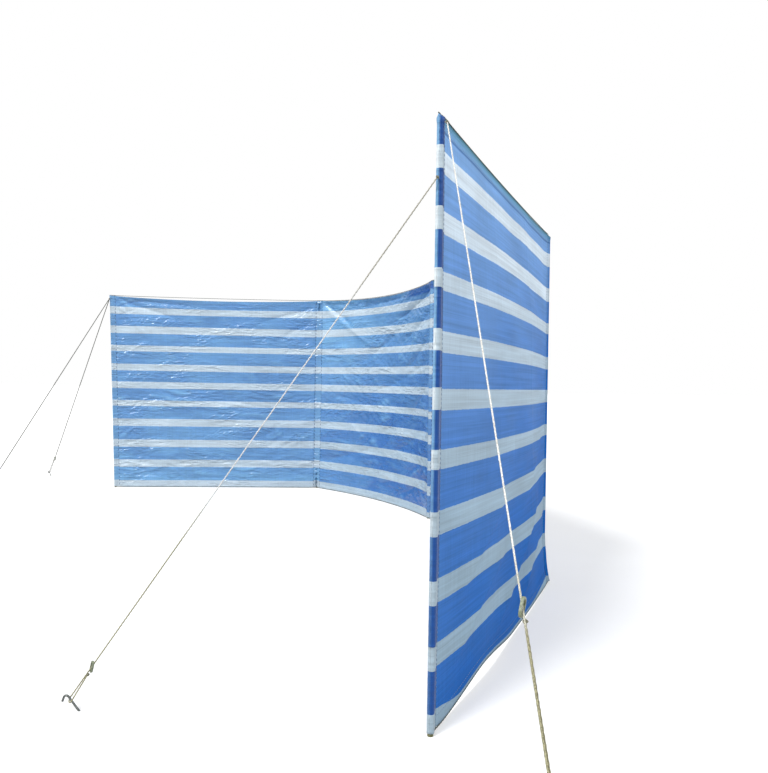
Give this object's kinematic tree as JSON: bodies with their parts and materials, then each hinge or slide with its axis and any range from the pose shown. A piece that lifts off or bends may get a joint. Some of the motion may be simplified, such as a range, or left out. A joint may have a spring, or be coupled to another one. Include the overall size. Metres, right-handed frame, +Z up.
{
  "type": "beach windbreak",
  "caption": "Beach windbreak: blue and white striped cloth on upright poles in a C-shaped plan, its end poles stayed by guy ropes with tensioners and pegs.",
  "frame": {"origin": "foot of the middle pole, on its axis at ground level", "axes": "+Z up; +Y level, away from the near end pole and along the longest side; +X level, towards the outer, bellied side of the middle bays"},
  "size_m": [2.86, 4.5607, 1.1894],
  "materials": {
    "pole_steel": "satin",
    "spike": "matt",
    "cap": "satin",
    "pocket_cloth": "slightly glossy woven sheet",
    "striped_cloth": "slightly glossy woven sheet, blue and white stripes",
    "edge_cord": "twisted cord",
    "guy_rope": "braided",
    "tensioner": "satin",
    "peg_wire": "galvanised"
  },
  "bodies": {
    "root": {"pole_1": "pole_steel", "pole_spike_1": "spike", "pole_cap_1": "cap", "pole_pocket_1": "pocket_cloth", "pole_2": "pole_steel", "pole_spike_2": "spike", "pole_cap_2": "cap", "pole_pocket_2": "pocket_cloth", "pole_3": "pole_steel", "pole_spike_3": "spike", "pole_cap_3": "cap", "pole_pocket_3": "pocket_cloth", "pole_4": "pole_steel", "pole_spike_4": "spike", "pole_cap_4": "cap", "pole_pocket_4": "pocket_cloth", "pole_5": "pole_steel", "pole_spike_5": "spike", "pole_cap_5": "cap", "pole_pocket_5": "pocket_cloth", "cloth_bay_1": "striped_cloth", "top_cord_1": "edge_cord", "bottom_cord_1": "edge_cord", "cloth_bay_2": "striped_cloth", "top_cord_2": "edge_cord", "bottom_cord_2": "edge_cord", "cloth_bay_3": "striped_cloth", "top_cord_3": "edge_cord", "bottom_cord_3": "edge_cord", "cloth_bay_4": "striped_cloth", "top_cord_4": "edge_cord", "bottom_cord_4": "edge_cord", "near_front_guy_rope": "guy_rope", "near_front_tensioner": "tensioner", "near_front_peg": "peg_wire", "near_side_guy_rope": "guy_rope", "near_side_tensioner": "tensioner", "near_side_peg": "peg_wire", "far_front_guy_rope": "guy_rope", "far_front_tensioner": "tensioner", "far_front_peg": "peg_wire", "far_back_guy_rope": "guy_rope", "far_back_tensioner": "tensioner", "far_back_peg": "peg_wire"}
  },
  "joints": []
}
